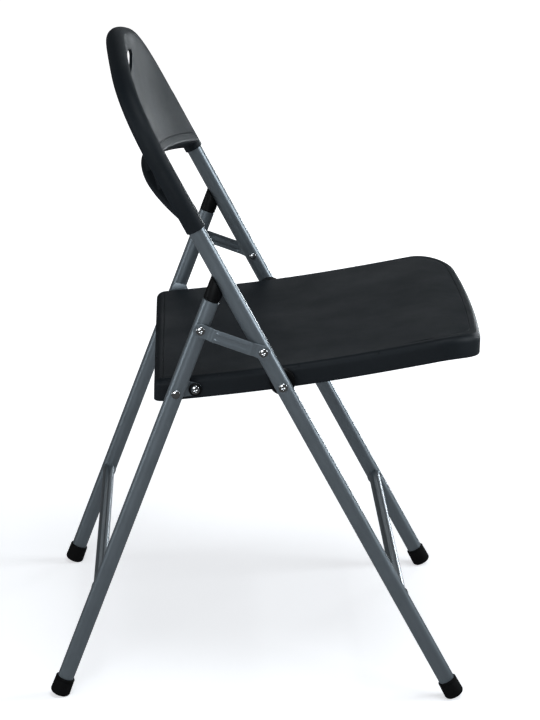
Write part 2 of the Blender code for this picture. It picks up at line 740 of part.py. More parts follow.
def back_panel():
    """The panel in the leg's own directions: x ahead, y across, z along the leg."""
    rim = SLEEVE_RADIUS
    skin = BACK_SKIN
    deep = BACK_LIP_DEPTH
    high = BACK_LIP_HEIGHT
    low_round = 0.004
    front = []
    for degrees in (2, 30, 60, 90):
        inset = 1 - math.cos(math.radians(degrees))
        depth = 1 - math.sin(math.radians(degrees))
        edge = (rim * inset, rim * depth)
        front.append(back_ring(edge, edge, (low_round * inset, low_round * depth)))
    beads = ((0, 1.05), (0.13, 1.50), (0.50, 1.87), (1.0, 2.0), (1.5, 1.87), (1.85, 1.35))
    beads += ((2.08, skin / rim),)
    lips = ((0, 1.05), (0.13, 1.50), (0.50, 1.87), (0.85, 1.98), (1.05, 1.80), (1.15, 1.20))
    lips += ((1.35, skin / rim),)
    lows = ((0, deep - 0.003), (0.003, deep), (high - 0.005, deep), (high - 0.001, deep - 0.002))
    lows += ((high, deep - 0.006), (high + 0.0005, 0.010), (high + 0.0025, skin))
    rear = []
    for bead, lip, low in zip(beads, lips, lows):
        pairs = [(inset * rim, depth * rim) for inset, depth in (bead, lip)]
        rear.append(back_ring(pairs[0], pairs[1], low))
    scales = (0.82, 0.58, 0.30)
    edge = (rim, 0)
    front += [back_ring(edge, edge, (low_round, 0), scale) for scale in scales]
    last = [(inset * rim, skin) for inset in (beads[-1][0], lips[-1][0])]
    rear += [back_ring(last[0], last[1], lows[-1], scale) for scale in scales]
    bm = bmesh.new()
    skins = [[[bm.verts.new(p) for p in ring] for ring in rings] for rings in (front, rear)]
    count = len(front[0])
    middle = (BACK_LOW + BACK_RISE + BACK_CROWN[1]) / 2
    for rings, depth in zip(skins, (0, skin)):
        pole = bm.verts.new((back_front(0, middle) - depth, 0, middle))
        for lower, upper in zip(rings, rings[1:]):
            for i in range(count):
                j = (i + 1) % count
                bm.faces.new((lower[i], lower[j], upper[j], upper[i]))
        for i in range(count):
            bm.faces.new((rings[-1][i], rings[-1][(i + 1) % count], pole))
    for i in range(count):
        j = (i + 1) % count
        bm.faces.new((skins[0][0][i], skins[0][0][j], skins[1][0][j], skins[1][0][i]))
    return bm


def back_rib(y):
    """Upright rib behind the panel, from its lower lip to below the slot."""
    half = BACK_RIB_THICKNESS / 2
    low = back_lower_edge(y) + BACK_LIP_HEIGHT / 2
    steps = 4
    rings = []
    for i in range(steps + 1):
        share = i / steps
        t = low + (BACK_RIB_TOP - low) * share
        near = back_front(y, t) - BACK_SKIN / 2
        deep = BACK_LIP_DEPTH - 0.003 - (BACK_LIP_DEPTH - BACK_SKIN - 0.003) * share**0.8
        far = back_front(y, t) - max(deep, BACK_SKIN * 0.8)
        rings.append([(near, y - half, t), (near, y + half, t), (far, y + half, t), (far, y - half, t)])
    return loft(rings)


def slot_cutter():
    """Lens-shaped prism through the panel."""
    steps = 8
    rings = []
    for x in (-0.04, 0.04):
        ring = []
        for i in range(2 * steps):
            angle = math.pi * (i + 0.5) / steps
            y = SLOT_HALF_LENGTH * math.cos(angle) / math.cos(math.pi / 2 / steps)
            bow = max(0, 1 - (y / SLOT_HALF_LENGTH) ** 2)
            z = math.copysign(SLOT_HALF_HEIGHT * (0.25 + 0.75 * bow), math.sin(angle))
            ring.append((x, y, SLOT_ALONG + z))
        rings.append(ring)
    return loft(rings)


def make_backrest():
    place = (FRONT_FLOOR_X, 0, 0)
    back = make_object("backrest", back_panel(), "black_plastic", place, -FRONT_LEAN)
    for number, y in enumerate(BACK_RIBS):
        rib_object = make_object(f"back_rib_{number}", back_rib(y), None, place, -FRONT_LEAN)
        cut(back, rib_object, "UNION", "MANIFOLD")
    radius = SLEEVE_RADIUS + 0.0002
    sleeve = ((0, SLEEVE_BOTTOM), (radius - 0.0008, SLEEVE_BOTTOM), (radius, SLEEVE_BOTTOM + 0.0008))
    sleeve += ((radius, SLEEVE_TOP - 0.012), (radius - 0.002, SLEEVE_TOP), (0, SLEEVE_TOP))
    for label, side in SIDES.items():
        spot = (FRONT_FLOOR_X, side * HALF, 0)
        outer = turned(sleeve, closed=False)
        sleeve_object = make_object(f"back_sleeve_{label}", outer, None, spot, -FRONT_LEAN)
        cut(back, sleeve_object, "UNION", "MANIFOLD")
    for label, side in SIDES.items():
        spot = (FRONT_FLOOR_X, side * HALF, 0)
        bore = rod(TUBE_RADIUS + GAP, SLEEVE_BOTTOM - 0.02, TUBE_TOP + GAP)
        socket = make_object(f"back_socket_{label}", bore, None, spot, -FRONT_LEAN)
        cut(back, socket, "DIFFERENCE", "MANIFOLD")
    slot = make_object("back_slot", slot_cutter(), None, place, -FRONT_LEAN)
    cut(back, slot, "DIFFERENCE", "MANIFOLD")
    return back


# --- assembly ------------------------------------------------------------------------------
def make_front_frame():
    make_crossbar("front_crossbar", True, None)
    make_backrest()
    for label, side in SIDES.items():
        make_leg(f"front_leg_{label}", side, True, None)
        make_foot(f"front_foot_{label}", side, True, None)
        outside = HALF + TUBE_RADIUS + GAP + LINK_THICKNESS
        inside = HALF - TUBE_RADIUS - GAP
        make_rivet(f"link_front_rivet_{label}", side, LINK_FRONT, inside, outside, True, None)


def make_seat_group(pivot):
    make_seat(pivot)
    for label, side in SIDES.items():
        tail = SEAT_HALF_WIDTH - SCREW_LENGTH
        outside = HALF + TUBE_RADIUS
        make_rivet(f"seat_pivot_screw_{label}", side, SEAT_PIVOT, tail, outside, False, pivot)
        low = SEAT_HALF_WIDTH + GAP
        high = HALF - TUBE_RADIUS - GAP
        make_ring(
            f"seat_pivot_spacer_{label}", side, SEAT_PIVOT, SPACER_RADIUS, low, high,
            "black_plastic", pivot,
        )
        face = bracket_planes()[1] + BRACKET_THICKNESS + GAP + WASHER_THICKNESS
        make_rivet(f"seat_hinge_screw_{label}", side, REAR_HINGE, tail, face, False, pivot)


def make_rear_frame(pivot):
    make_crossbar("rear_crossbar", False, pivot)
    at_leg, at_hinge = bracket_planes()
    for label, side in SIDES.items():
        make_leg(f"rear_leg_{label}", side, False, pivot)
        make_foot(f"rear_foot_{label}", side, False, pivot)
        make_leg_cap(f"rear_leg_cap_{label}", side, pivot)
        make_bracket(f"seat_bracket_{label}", side, pivot)
        outside = HALF + TUBE_RADIUS
        tail = at_leg - GAP
        make_rivet(f"bracket_rivet_{label}", side, BRACKET_RIVET, tail, outside, True, pivot)
        low = at_hinge + BRACKET_THICKNESS + GAP
        make_ring(
            f"hinge_washer_{label}", side, REAR_HINGE, WASHER_RADIUS, low, low + WASHER_THICKNESS,
            "black_plastic", pivot,
        )
        make_rivet_tail(f"link_rear_rivet_tail_{label}", side, LINK_REAR, pivot)


def make_links(pivot):
    for label, side in SIDES.items():
        make_link(f"side_link_{label}", side, pivot)
        tail = HALF + TUBE_RADIUS + 2 * GAP
        outside = HALF + TUBE_RADIUS + GAP + LINK_THICKNESS
        make_rivet(f"link_rear_rivet_{label}", side, LINK_REAR, tail, outside, False, pivot)


clear_scene()
MATERIALS = make_materials()
make_front_frame()
make_seat_group(make_pivot("seat_pivot_axis", SEAT_PIVOT))
make_rear_frame(make_pivot("rear_hinge_axis", REAR_HINGE))
make_links(make_pivot("link_pivot_axis", LINK_FRONT))
bpy.context.view_layer.update()
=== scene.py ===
import math

import bmesh
import bpy
from mathutils import Matrix, Vector


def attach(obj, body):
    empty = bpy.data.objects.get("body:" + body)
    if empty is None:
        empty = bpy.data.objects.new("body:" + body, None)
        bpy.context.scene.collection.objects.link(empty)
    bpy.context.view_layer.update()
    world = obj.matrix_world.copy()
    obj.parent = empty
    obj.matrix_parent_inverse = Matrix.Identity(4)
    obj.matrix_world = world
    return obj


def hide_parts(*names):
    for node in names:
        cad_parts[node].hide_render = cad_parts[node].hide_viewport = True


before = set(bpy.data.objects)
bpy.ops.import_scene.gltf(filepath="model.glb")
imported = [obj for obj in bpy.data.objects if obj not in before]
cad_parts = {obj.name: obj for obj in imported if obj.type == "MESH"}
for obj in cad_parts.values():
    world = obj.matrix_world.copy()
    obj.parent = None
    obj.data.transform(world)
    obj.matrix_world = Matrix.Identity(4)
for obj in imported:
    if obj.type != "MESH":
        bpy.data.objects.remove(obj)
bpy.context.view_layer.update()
sides = {"right": -1, "left": 1}

chair = {
    "legSpacing": 0.450,
    "tubeRadius": 0.010,
    "frontLean": math.radians(29.28),
    "rearLean": math.radians(19.52),
    "frontFloorX": 0.2387,
    "rearFloorX": -0.2519,
    "linkFrontZ": 0.4445,
    "linkRearZ": 0.4704,
    "seatPivotZ": 0.4012,
    "bracketRivetZ": 0.3912,
    "hingeAlong": 0.4208,
    "hingeForward": 0.0227,
    "gap": 0.0003,
}
half = chair["legSpacing"] / 2
tubeRadius = chair["tubeRadius"]
gap = chair["gap"]
frontLean = chair["frontLean"]
rearLean = chair["rearLean"]


# ---- places on the legs, as (x, z)
def onFront(z):
    return Vector((chair["frontFloorX"] - z * math.tan(frontLean), z))


def onRear(z):
    return Vector((chair["rearFloorX"] + z * math.tan(rearLean), z))


rearUp = Vector((math.sin(rearLean), math.cos(rearLean)))
rearAhead = Vector((math.cos(rearLean), -math.sin(rearLean)))
linkFront = onFront(chair["linkFrontZ"])
linkRear = onRear(chair["linkRearZ"])
seatPivot = onFront(chair["seatPivotZ"])
bracketRivet = onRear(chair["bracketRivetZ"])
rearHinge = Vector((chair["rearFloorX"], 0)) + chair["hingeAlong"] * rearUp
rearHinge = rearHinge + chair["hingeForward"] * rearAhead


# ---- shader maths
class Value:  # one output of a material's nodes, with sums written on it
    def __init__(self, shader, socket):
        self.shader = shader
        self.socket = socket

    def __add__(self, other):
        return self.shader.sum("ADD", self, other)

    def __radd__(self, other):
        return self.shader.sum("ADD", other, self)

    def __sub__(self, other):
        return self.shader.sum("SUBTRACT", self, other)

    def __rsub__(self, other):
        return self.shader.sum("SUBTRACT", other, self)

    def __mul__(self, other):
        return self.shader.sum("MULTIPLY", self, other)

    def __rmul__(self, other):
        return self.shader.sum("MULTIPLY", other, self)


class Shader:
    def __init__(self, tree):
        self.tree = tree

    def add(self, kind, settings=None, inputs=None, output=0):
        node = self.tree.nodes.new(kind)
        for name, value in (settings or {}).items():
            setattr(node, name, value)
        for name, value in (inputs or {}).items():
            self.feed(node.inputs[name], value)
        return Value(self, node.outputs[output])

    def feed(self, socket, value):
        if isinstance(value, Value):
            self.tree.links.new(value.socket, socket)
        else:
            socket.default_value = value

    def sum(self, operation, one, two):
        return self.add("ShaderNodeMath", {"operation": operation}, {0: one, 1: two})

    def place(self):
        return self.add("ShaderNodeTexCoord", output="Object")

    def noise(self, scale, detail=4.0, rough=0.55):
        inputs = {"Vector": self.place(), "Scale": scale, "Detail": detail, "Roughness": rough}
        return self.add("ShaderNodeTexNoise", {}, inputs)

    def span(self, value, low, high, to=(0.0, 1.0)):
        inputs = {0: value, 1: low, 2: high, 3: to[0], 4: to[1]}
        return self.add("ShaderNodeMapRange", {"clamp": True}, inputs)

    def mix(self, share, one, two):
        colours = [(*part, 1) if isinstance(part, tuple) else part for part in (one, two)]
        inputs = {0: share, 6: colours[0], 7: colours[1]}  # the Mix node's colour sockets
        return self.add("ShaderNodeMix", {"data_type": "RGBA"}, inputs, 2)

    def bump(self, height, strength, distance):
        inputs = {"Height": height, "Strength": strength, "Distance": distance}
        return self.add("ShaderNodeBump", {}, inputs, "Normal")


def newMaterial(name, settings):
    material = bpy.data.materials.new(name)
    material.use_nodes = True
    shader = Shader(material.node_tree)
    sockets = material.node_tree.nodes["Principled BSDF"].inputs
    for socket, value in settings.items():
        sockets[socket].default_value = value
    return material, shader, sockets


paint = {
    "colour": (0.175, 0.205, 0.230), "worn": (0.30, 0.33, 0.36), "darker": 0.82,
    "metallic": 0.62, "coat": 0.30, "coatRoughness": 0.24, "rough": (0.33, 0.45),
    "cloudScale": 22, "speckScale": 900, "scuffScale": 75, "peelScale": 420,
    "cloudShare": 0.5, "scuffShare": 0.35, "scuffRoughness": 0.10,
    "relief": 0.05, "reliefDepth": 0.0006,
}


def makePaint():
    settings = {
        "Metallic": paint["metallic"],
        "Coat Weight": paint["coat"],
        "Coat Roughness": paint["coatRoughness"],
    }
    material, shader, sockets = newMaterial("framePaint", settings)
    cloud = shader.noise(paint["cloudScale"])
    speck = shader.noise(paint["speckScale"], 2)
    scuff = shader.span(shader.noise(paint["scuffScale"], 8, 0.7), 0.63, 0.70)
    flake = shader.span(speck, 0.35, 0.75, (0.90, 1.12))
    base = shader.mix(scuff * paint["scuffShare"], paint["colour"], paint["worn"])
    dark = tuple(paint["darker"] * part for part in paint["colour"])
    shade = (1 - cloud) * flake * paint["cloudShare"]
    shader.feed(sockets["Base Color"], shader.mix(shade, base, dark))
    rough = shader.span(cloud, 0.3, 0.7, paint["rough"]) + scuff * paint["scuffRoughness"]
    shader.feed(sockets["Roughness"], rough)
    height = shader.noise(paint["peelScale"], 3) + speck * 0.3
    shader.feed(sockets["Normal"], shader.bump(height, paint["relief"], paint["reliefDepth"]))
    return material


wear = {
    "cloudScale": 12, "rubScale": 48, "rubShare": 0.30, "dustScale": 7, "dustShare": 0.22,
    "grainRoughness": 0.06, "coarseScale": 0.4, "coarseShare": 0.6, "reliefDepth": 0.0008,
}


def makePlastic(name, settings):
    material, shader, sockets = newMaterial(name, {"Specular IOR Level": settings["shine"]})
    grain = shader.noise(settings["grain"], 3, 0.6)
    cloud = shader.noise(wear["cloudScale"], 5, 0.6)
    rub = shader.span(shader.noise(wear["rubScale"], 8, 0.72), 0.60, 0.72)
    dust = shader.span(shader.noise(wear["dustScale"], 6, 0.65), 0.45, 0.75)
    tone = shader.mix(rub * wear["rubShare"], settings["colour"], settings["worn"])
    tone = shader.mix(dust * wear["dustShare"], tone, settings["worn"])
    shader.feed(sockets["Base Color"], tone)
    rough = shader.span(cloud, 0.3, 0.7, settings["rough"]) + grain * wear["grainRoughness"]
    shader.feed(sockets["Roughness"], rough)
    coarse = shader.noise(settings["grain"] * wear["coarseScale"], 2)
    height = grain + coarse * wear["coarseShare"]
    shader.feed(sockets["Normal"], shader.bump(height, settings["relief"], wear["reliefDepth"]))
    return material


zinc = {
    "bright": (0.86, 0.87, 0.88), "dull": (0.66, 0.67, 0.69), "rough": (0.08, 0.17),
    "cloudScale": 160, "scratchScale": 700, "scratchRoughness": 0.08,
    "pitScale": 500, "relief": 0.08, "reliefDepth": 0.0004,
}


def makeZinc():
    material, shader, sockets = newMaterial("zincFastener", {"Metallic": 1.0})
    cloud = shader.noise(zinc["cloudScale"], 6, 0.6)
    scratch = shader.span(shader.noise(zinc["scratchScale"], 3), 0.55, 0.70)
    shader.feed(sockets["Base Color"], shader.mix(cloud, zinc["bright"], zinc["dull"]))
    rough = shader.span(cloud, 0.3, 0.7, zinc["rough"]) + scratch * zinc["scratchRoughness"]
    shader.feed(sockets["Roughness"], rough)
    pits = shader.noise(zinc["pitScale"], 3)
    shader.feed(sockets["Normal"], shader.bump(pits, zinc["relief"], zinc["reliefDepth"]))
    return material


plastics = {
    "mouldedPlastic": {
        "colour": (0.0070, 0.0100, 0.0132), "worn": (0.0150, 0.0200, 0.0255),
        "shine": 0.20, "grain": 1500.0, "rough": (0.46, 0.58), "relief": 0.22,
    },
    "trimPlastic": {
        "colour": (0.0018, 0.0020, 0.0024), "worn": (0.008, 0.009, 0.010),
        "shine": 0.20, "grain": 1100.0, "rough": (0.38, 0.52), "relief": 0.14,
    },
    "footRubber": {
        "colour": (0.0022, 0.0022, 0.0025), "worn": (0.012, 0.012, 0.012),
        "shine": 0.15, "grain": 800.0, "rough": (0.62, 0.80), "relief": 0.30,
    },
}
finishes = {name: makePlastic(name, settings) for name, settings in plastics.items()}
finishes["framePaint"] = makePaint()
finishes["zincFastener"] = makeZinc()
print("finishes made")


# ---- modelling helpers
def deselect():
    if bpy.context.mode != "OBJECT":
        bpy.ops.object.mode_set(mode="OBJECT")
    bpy.ops.object.select_all(action="DESELECT")


def pick(obj):
    deselect()
    obj.select_set(True)
    bpy.context.view_layer.objects.active = obj


def applyModifiers(obj):
    pick(obj)
    for modifier in list(obj.modifiers):
        bpy.ops.object.modifier_apply(modifier=modifier.name)


def finish(obj, name, body, finishName, nodes, angle=34):
    # applies everything, cleans the mesh, shades it, gives it its finish and name, hangs it on its body
    # and hides the nodes it stands for
    applyModifiers(obj)
    bpy.ops.object.transform_apply(location=True, rotation=True, scale=True)
    bpy.ops.object.mode_set(mode="EDIT")
    bpy.ops.mesh.select_all(action="SELECT")
    bpy.ops.mesh.remove_doubles(threshold=0.000002)
    bpy.ops.mesh.normals_make_consistent(inside=False)
    bpy.ops.object.mode_set(mode="OBJECT")
    bpy.ops.object.shade_smooth_by_angle(angle=math.radians(angle))
    obj.data.materials.clear()
    obj.data.materials.append(finishes[finishName])
    obj.name = name
    obj.data.name = name
    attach(obj, body)
    if nodes:
        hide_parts(*nodes)
    deselect()
    return obj


def turnPiece(profile, sides=64):
    # (radius, height) pairs: a circle drawn out and resized ring by ring, closed at both ends
    deselect()
    start = profile[0]
    bpy.ops.mesh.primitive_circle_add(
        vertices=sides, radius=start[0], fill_type="NGON", location=(0, 0, 0)
    )
    piece = bpy.context.active_object
    bpy.ops.object.mode_set(mode="EDIT")
    bpy.ops.transform.translate(value=(0, 0, start[1]))
    for (radius, height), (wide, high) in zip(profile, profile[1:]):
        bpy.ops.mesh.extrude_region_move(TRANSFORM_OT_translate={"value": (0, 0, high - height)})
        share = wide / radius
        bpy.ops.transform.resize(value=(share, share, 1), center_override=(0, 0, high))
    bpy.ops.object.mode_set(mode="OBJECT")
    deselect()
    return piece


def lean(piece, floorX, side, angle):
    # stands an upright piece on a leg's line
    piece.rotation_euler = (0, angle, 0)
    piece.location = (floorX, side * half, 0)


def layAcross(piece, point, side):
    # points an upright piece outwards along Y at a pivot
    piece.rotation_euler = (-side * math.pi / 2, 0, 0)
    piece.location = (point.x, 0, point.y)


def skin(rings):
    mesh = bmesh.new()
    made = [[mesh.verts.new(point) for point in ring] for ring in rings]
    for lower, upper in zip(made, made[1:]):
        for i in range(len(lower)):
            j = (i + 1) % len(lower)
            mesh.faces.new((lower[i], lower[j], upper[j], upper[i]))
    mesh.faces.new(made[0][::-1])
    mesh.faces.new(made[-1])
    return asObject(mesh)


def asObject(mesh):
    bmesh.ops.recalc_face_normals(mesh, faces=mesh.faces)
    data = bpy.data.meshes.new("piece")
    mesh.to_mesh(data)
    mesh.free()
    piece = bpy.data.objects.new("piece", data)
    bpy.context.scene.collection.objects.link(piece)
    return piece


def bake(piece):
    pick(piece)
    bpy.ops.object.transform_apply(location=True, rotation=True, scale=True)


def join(piece, tool, operation="DIFFERENCE", solver="EXACT"):
    bake(tool)
    bake(piece)
    modifier = piece.modifiers.new("shape", "BOOLEAN")
    modifier.operation = operation
    modifier.solver = solver
    modifier.object = tool
    pick(piece)
    bpy.ops.object.modifier_apply(modifier=modifier.name)
    bpy.data.objects.remove(tool, do_unlink=True)
    return piece


# ---- tubes of the two frames
tube = {"end": 0.0085, "frontTop": 0.774, "rearTopZ": 0.5050, "edge": 0.0006}


def makeTube(side, front):
    top = tube["frontTop"] if front else tube["rearTopZ"] / math.cos(rearLean)
    low = tube["end"]
    edge = tube["edge"]
    thin = tubeRadius - edge
    profile = [(thin, low), (tubeRadius, low + edge), (tubeRadius, top - edge), (thin, top)]
    piece = turnPiece(profile, 72)
    angle = -frontLean if front else rearLean
    lean(piece, chair["frontFloorX"] if front else chair["rearFloorX"], side, angle)
    return piece


for label, side in sides.items():
    for front in (True, False):
        kind = "front" if front else "rear"
        leg = makeTube(side, front)
        finish(leg, f"{kind}Tube.{label}", f"{kind}_frame", "framePaint", [f"{kind}_leg_{label}"])
print("legs made")

bar = {
    "radius": 0.0076, "groove": 0.0012, "grooveWidth": 0.045,
    "frontZ": 0.132, "rearZ": 0.138, "weldReach": 0.0085, "weldRise": 0.0026,
    "flare": 0.0007, "sides": 96, "stations": 48,
}


def makeBar(front):
    point = onFront(bar["frontZ"]) if front else onRear(bar["rearZ"])
    reach = half - tubeRadius * 0.4
    count = bar["sides"]
    stations = bar["stations"]
    rings = []
    for step in range(stations + 1):
        y = -reach + 2 * reach * step / stations
        toLeg = half - tubeRadius - abs(y)
        fade = min(1, max(0, (toLeg - 0.006) / 0.012))
        flare = max(0, 1 - max(0, toLeg) / bar["weldReach"]) ** 2 * bar["flare"]
        ring = []
        for i in range(count):
            angle = 2 * math.pi * i / count
            fromTop = (abs(math.sin(angle)) - 1) / bar["grooveWidth"]
            press = bar["groove"] * math.exp(-(fromTop**2))
            radius = bar["radius"] + flare - press * fade
            ring.append((point.x + radius * math.cos(angle), y, point.y + radius * math.sin(angle)))
        rings.append(ring)
    return skin(rings)


def makeWeld(front, side):
    # the run of weld round a bar's end, uneven as a hand-laid one is
    point = onFront(bar["frontZ"]) if front else onRear(bar["rearZ"])
    leanAngle = -frontLean if front else rearLean
    count = 72
    rings = []
    steps = 8
    for step in range(steps + 1):
        share = step / steps
        ring = []
        for i in range(count):
            angle = 2 * math.pi * i / count
            ripple = 0.00022 * math.sin(9 * angle + side) + 0.00014 * math.sin(17 * angle + 2)
            out = bar["weldRise"] * (1 - share) ** 2 + ripple * math.sin(math.pi * share)
            radius = bar["radius"] - 0.0002 + out
            across = radius * math.cos(angle - leanAngle)  # distance from the leg's line
            across = min(abs(across), tubeRadius * 0.92)
            surface = math.sqrt(tubeRadius**2 - across**2)
            y = half - surface + 0.0012 - (0.0016 + bar["weldReach"] * share * 0.62)
            spot = (radius * math.cos(angle), radius * math.sin(angle))
            ring.append((point.x + spot[0], side * y, point.y + spot[1]))
        rings.append(ring)
    return skin(rings)


for front in (True, False):
    kind = "front" if front else "rear"
    finish(makeBar(front), f"{kind}Crossbar", f"{kind}_frame", "framePaint", [f"{kind}_crossbar"])
    for label, side in sides.items():
        finish(makeWeld(front, side), f"{kind}Weld.{label}", f"{kind}_frame", "framePaint", [], 60)
print("crossbars made")

foot = {"rimZ": 0.0236, "wall": 0.0013, "flare": 0.0007, "fillet": 0.0050, "cut": 0.0015}


def makeFoot(side, front):
    angle = frontLean if front else rearLean
    rim = tubeRadius + gap + foot["wall"]
    base = rim + foot["flare"]
    fillet = foot["fillet"]
    centre = ((base - fillet) * math.sin(angle) + fillet - foot["cut"]) / math.cos(angle)
    top = foot["rimZ"] / math.cos(angle)
    profile = []
    for step in range(10):
        turn = math.radians(-88 + 88 * step / 9)
        profile.append((base - fillet + fillet * math.cos(turn), centre + fillet * math.sin(turn)))
    ring = 0.0035
    bead = rim + 0.0003
    groove = rim - 0.0001
    profile += [(base - 0.0001, centre + 0.002), (bead, top - ring - 0.0012)]
    profile += [(groove, top - ring - 0.0006), (groove, top - ring), (bead, top - ring + 0.0006)]
    profile += [(bead, top - 0.0010), (rim, top - 0.0004), (rim - 0.0005, top)]
    profile.append((tubeRadius - 0.0005, top))
    piece = turnPiece(profile)
    lean(piece, chair["frontFloorX"] if front else chair["rearFloorX"], side, -angle if front else angle)
    bake(piece)
    bpy.ops.object.mode_set(mode="EDIT")
    bpy.ops.mesh.select_all(action="SELECT")
    bpy.ops.mesh.bisect(plane_co=(0, 0, 0.0), plane_no=(0, 0, 1), use_fill=True, clear_inner=True)
    bpy.ops.object.mode_set(mode="OBJECT")
    return piece


for label, side in sides.items():
    for kind in ("front", "rear"):
        piece = makeFoot(side, kind == "front")
        finish(piece, f"{kind}Foot.{label}", f"{kind}_frame", "footRubber", [f"{kind}_foot_{label}"])
print("feet made")

cap = {
    "length": 0.040, "collar": 0.0003, "behind": 0.0095, "saddleGap": 0.0006,
    "block": (0.060, 0.040, 0.200),
}


def makeCap(side):
    start = tube["rearTopZ"] / math.cos(rearLean)
    wide = tubeRadius + cap["collar"]
    profile = [(wide - 0.0006, start + gap), (wide, start + 0.0009), (wide, start + 0.0024)]
    profile += [(wide - 0.0003, start + 0.0027), (wide - 0.0003, start + 0.0033), (wide, start + 0.0036)]
    profile += [(wide, start + cap["length"])]
    piece = turnPiece(profile)
    lean(piece, chair["rearFloorX"], side, rearLean)
    spot = onFront(tube["rearTopZ"])
    ahead = Vector((math.cos(frontLean), math.sin(frontLean)))
    middle = spot + ahead * (cap["block"][0] / 2 - cap["behind"])
    deselect()
    place = (middle.x, side * half, middle.y)
    bpy.ops.mesh.primitive_cube_add(size=1, location=place, scale=cap["block"])
    block = bpy.context.active_object
    block.rotation_euler = (0, -frontLean, 0)
    join(piece, block)
    deselect()
    bpy.ops.mesh.primitive_cylinder_add(vertices=72, radius=tubeRadius + cap["saddleGap"], depth=0.2)
    groove = bpy.context.active_object
    groove.rotation_euler = (0, -frontLean, 0)
    groove.location = (spot.x, side * half, spot.y)
    join(piece, groove)
    edge = piece.modifiers.new("edge", "BEVEL")
    edge.width = 0.0005
    edge.segments = 2
    edge.limit_method = "ANGLE"
    edge.angle_limit = math.radians(50)
    return piece


for label, side in sides.items():
    finish(makeCap(side), f"rearCap.{label}", "rear_frame", "trimPlastic", [f"rear_leg_cap_{label}"], 40)
print("caps made")

# ---- links and brackets
link = {
    "thickness": 0.0020, "width": 0.0158, "tab": 0.0086, "step": 0.0020,
    "ribHeight": 0.0010, "ribAt": 0.0040, "ribWidth": 0.0014,
}


def makeLink(side):
    inside = half + tubeRadius + gap
    span = linkRear - linkFront
    length = span.length
    along = span.normalized()
    across = Vector((-along.y, along.x))
    tab = link["tab"]
    wide = link["width"] / 2
    rampStart = tab * 1.15
    rampEnd = rampStart + 0.0055
    stations = []
    for step in range(17):
        angle = math.radians(3 + 87 * step / 16)
        stations.append((-tab * math.cos(angle), tab * math.sin(angle)))
    blend = [rampStart * share for share in (0.3, 0.6, 0.85)]
    stations += [(s, tab + (wide - tab) * min(1, s / rampStart)) for s in blend]
    inner = 34
    stations += [(rampStart + (length / 2 - rampStart) * step / inner, wide) for step in range(inner)]
    stations.append((length / 2, wide))
    stations += [(length - s, w) for s, w in reversed(stations[:-1])]
    columns = 40
    rings = []
    for s, width in stations:
        toEnd = min(s, length - s)
        ramp = min(1, max(0, (toEnd - rampStart) / (rampEnd - rampStart)))
        ramp = ramp * ramp * (3 - 2 * ramp)
        ribFade = min(1, max(0, (toEnd - rampEnd - 0.002) / 0.004))
        ribFade = ribFade * ribFade * (3 - 2 * ribFade)
        near = []
        far = []
        for i in range(columns + 1):
            shift = -width + 2 * width * i / columns
            fromRib = (abs(shift) - link["ribAt"]) / link["ribWidth"]
            rib = math.exp(-(fromRib**2)) * link["ribHeight"]
            edge = max(0, 1 - (width - abs(shift)) / 0.0006) ** 2 * 0.0005
            out = inside + link["step"] * ramp + rib * ribFade
            spot = linkFront + along * s + across * shift
            near.append((spot.x, side * (out + edge), spot.y))
            far.append((spot.x, side * (out + link["thickness"] - edge), spot.y))
        rings.append(near + far[::-1])
    return skin(rings)


for label, side in sides.items():
    finish(makeLink(side), f"sideLink.{label}", f"link_{label}", "framePaint", [f"side_link_{label}"], 50)

bracket = {
    "thickness": 0.0020, "eye": 0.0080,
    "plate": ((-0.0085, 0.0090, -0.0050), (-0.0060, 0.0150, -0.0085), (0.0085, 0.0165, -0.0085)),
    "stepIn": (0.0130, 0.0125, -0.0080),
}
seatHalfWidth = half - tubeRadius - 0.011
bracketAtLeg = half - tubeRadius - gap - bracket["thickness"]
bracketAtHinge = seatHalfWidth + 2 * gap


def makeBracket(side):
    eye = (rearHinge - bracketRivet).dot(rearUp)
    end = bracket["eye"]
    stations = [(*row, bracketAtLeg) for row in bracket["plate"]]
    stations.append((*bracket["stepIn"], bracketAtHinge))
    for step in range(0, 13):
        angle = math.radians(90 - 86 * step / 12)
        high = end * math.sin(angle)
        reach = chair["hingeForward"] + end * math.cos(angle)
        stations.append((reach, eye + high, eye - high, bracketAtHinge))
    rings = []
    for s, high, low, plane in stations:
        ring = []
        outer = plane + bracket["thickness"]
        for shift, depth in ((low, plane), (high, plane), (high, outer), (low, outer)):
            spot = bracketRivet + rearAhead * s + rearUp * shift
            ring.append((spot.x, side * depth, spot.y))
        rings.append(ring)
    piece = skin(rings)
    edge = piece.modifiers.new("edge", "BEVEL")
    edge.width = 0.0005
    edge.segments = 3
    edge.limit_method = "ANGLE"
    edge.angle_limit = math.radians(25)
    return piece


for label, side in sides.items():
    plate = makeBracket(side)
    node = f"seat_bracket_{label}"
    finish(plate, f"seatBracket.{label}", "rear_frame", "framePaint", [node], 40)
print("links and brackets made")

# ---- fasteners
rivet = {
    "shank": 0.0026, "head": 0.0054, "height": 0.0029, "screwLength": 0.014,
    "blade": (0.0046, 0.0010, 0.0022), "bladeTurn": 0.35, "straight": 0.30,
}
washer = {"radius": 0.0080, "thickness": 0.0018}
spacer = {"radius": 0.0155}


def domeRings(radius, base, height, steps=10):
    straight = rivet["straight"]  # share of the head's height before its dome starts
    rings = [(radius - 0.0002, base), (radius, base + 0.0002), (radius, base + height * straight)]
    for step in range(1, steps):
        angle = math.pi / 2 * step / steps
        rise = straight + (1 - straight) * math.sin(angle)
        rings.append((radius * math.cos(angle), base + height * rise))
    rings.append((0.00012, base + height))
    return rings


